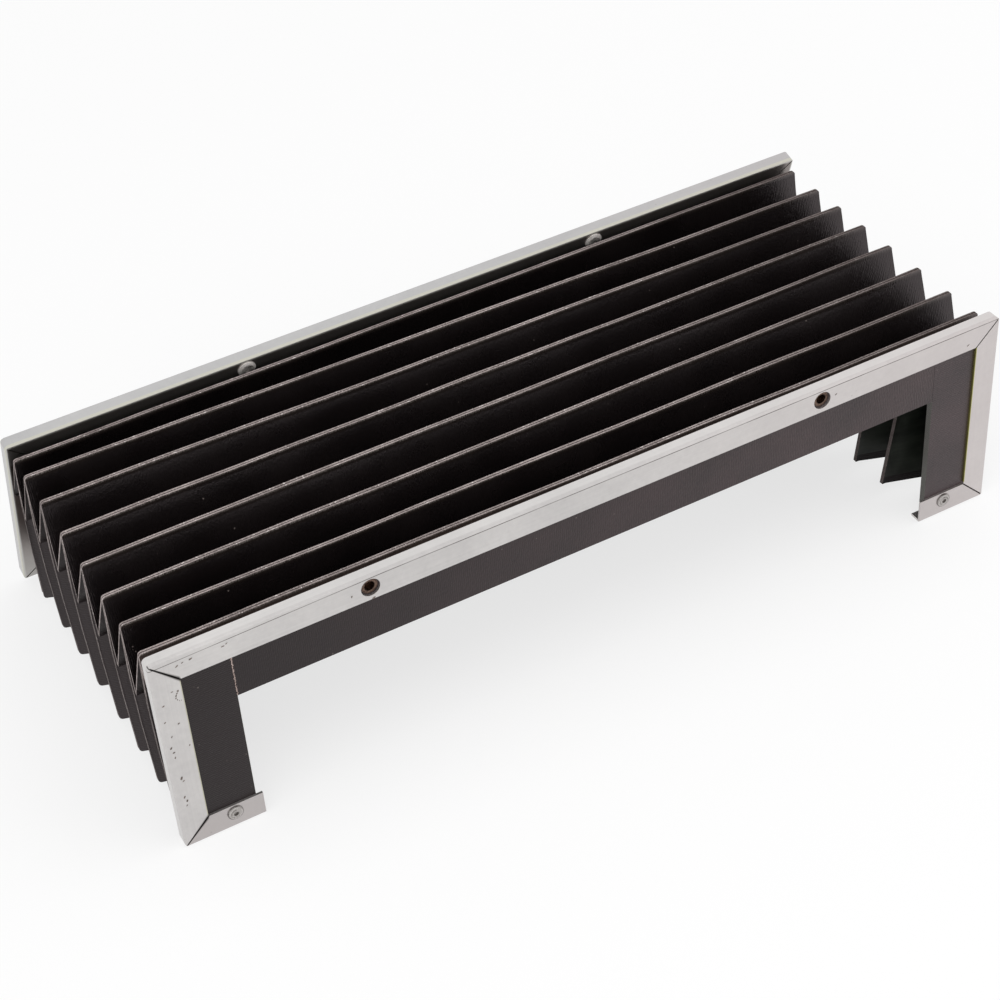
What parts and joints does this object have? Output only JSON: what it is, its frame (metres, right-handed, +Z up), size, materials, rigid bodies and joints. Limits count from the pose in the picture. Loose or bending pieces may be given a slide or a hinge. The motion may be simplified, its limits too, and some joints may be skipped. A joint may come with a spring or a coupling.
{
  "type": "bellows way cover",
  "caption": "U-shaped folded bellows cover for machine ways: pleated fabric walls between two L-section metal end frames with coated panels and threaded inserts.",
  "frame": {"origin": "centre of the bounding box, on the plane of the front feet", "axes": "+X across the ways to the right, -Y along the travel towards the front end, +Z up"},
  "size_m": [0.375, 0.1788, 0.0961],
  "materials": {
    "frame_metal": "satin",
    "panel_leatherette": "ribbed matte",
    "rivet_metal": "satin",
    "insert_metal": "nickel plated",
    "fold_fabric": "coated"
  },
  "bodies": {
    "rear_end": {"rear_end_frame": "frame_metal", "rear_top_panel": "panel_leatherette", "rear_left_panel": "panel_leatherette", "rear_right_panel": "panel_leatherette", "rear_tab_rivets": "rivet_metal", "rear_inserts": "insert_metal"},
    "front_end": {"front_end_frame": "frame_metal", "front_top_panel": "panel_leatherette", "front_left_panel": "panel_leatherette", "front_right_panel": "panel_leatherette", "front_tab_rivets": "rivet_metal", "front_inserts": "insert_metal"},
    "pleat_1": {"pleat_1_rear_wall": "fold_fabric", "pleat_1_front_wall": "fold_fabric"},
    "pleat_2": {"pleat_2_rear_wall": "fold_fabric", "pleat_2_front_wall": "fold_fabric"},
    "pleat_3": {"pleat_3_rear_wall": "fold_fabric", "pleat_3_front_wall": "fold_fabric"},
    "pleat_4": {"pleat_4_rear_wall": "fold_fabric", "pleat_4_front_wall": "fold_fabric"},
    "pleat_5": {"pleat_5_rear_wall": "fold_fabric", "pleat_5_front_wall": "fold_fabric"},
    "pleat_6": {"pleat_6_rear_wall": "fold_fabric", "pleat_6_front_wall": "fold_fabric"},
    "pleat_7": {"pleat_7_rear_wall": "fold_fabric", "pleat_7_front_wall": "fold_fabric"},
    "pleat_8": {"pleat_8_rear_wall": "fold_fabric", "pleat_8_front_wall": "fold_fabric"}
  },
  "joints": [
    {"name": "extension", "type": "slide", "parent": "rear_end", "child": "front_end", "axis": [0, -1, 0], "range_m": [-0.11, 0.05], "stiffness_N_per_m": 40},
    {"name": "pleat_1_slide", "type": "slide", "parent": "rear_end", "child": "pleat_1", "axis": [0, -1, 0], "range_m": [-0.00147, 0.00078], "deforming": ["pleat_1_rear_wall", "pleat_1_front_wall"]},
    {"name": "pleat_2_slide", "type": "slide", "parent": "rear_end", "child": "pleat_2", "axis": [0, -1, 0], "range_m": [-0.01251, 0.00579], "deforming": ["pleat_2_rear_wall", "pleat_2_front_wall"]},
    {"name": "pleat_3_slide", "type": "slide", "parent": "rear_end", "child": "pleat_3", "axis": [0, -1, 0], "range_m": [-0.02652, 0.01216], "deforming": ["pleat_3_rear_wall", "pleat_3_front_wall"]},
    {"name": "pleat_4_slide", "type": "slide", "parent": "rear_end", "child": "pleat_4", "axis": [0, -1, 0], "range_m": [-0.04206, 0.01923], "deforming": ["pleat_4_rear_wall", "pleat_4_front_wall"]},
    {"name": "pleat_5_slide", "type": "slide", "parent": "rear_end", "child": "pleat_5", "axis": [0, -1, 0], "range_m": [-0.05803, 0.02649], "deforming": ["pleat_5_rear_wall", "pleat_5_front_wall"]},
    {"name": "pleat_6_slide", "type": "slide", "parent": "rear_end", "child": "pleat_6", "axis": [0, -1, 0], "range_m": [-0.07372, 0.03362], "deforming": ["pleat_6_rear_wall", "pleat_6_front_wall"]},
    {"name": "pleat_7_slide", "type": "slide", "parent": "rear_end", "child": "pleat_7", "axis": [0, -1, 0], "range_m": [-0.08876, 0.04045], "deforming": ["pleat_7_rear_wall", "pleat_7_front_wall"]},
    {"name": "pleat_8_slide", "type": "slide", "parent": "rear_end", "child": "pleat_8", "axis": [0, -1, 0], "range_m": [-0.10315, 0.047], "deforming": ["pleat_8_rear_wall", "pleat_8_front_wall"]}
  ],
  "couplings": [
    {"joint": "pleat_1_slide", "follows": "extension", "ratio": 0.01159},
    {"joint": "pleat_2_slide", "follows": "extension", "ratio": 0.11189},
    {"joint": "pleat_3_slide", "follows": "extension", "ratio": 0.23927},
    {"joint": "pleat_4_slide", "follows": "extension", "ratio": 0.38052},
    {"joint": "pleat_5_slide", "follows": "extension", "ratio": 0.52576},
    {"joint": "pleat_6_slide", "follows": "extension", "ratio": 0.66838},
    {"joint": "pleat_7_slide", "follows": "extension", "ratio": 0.8051},
    {"joint": "pleat_8_slide", "follows": "extension", "ratio": 0.93591}
  ]
}
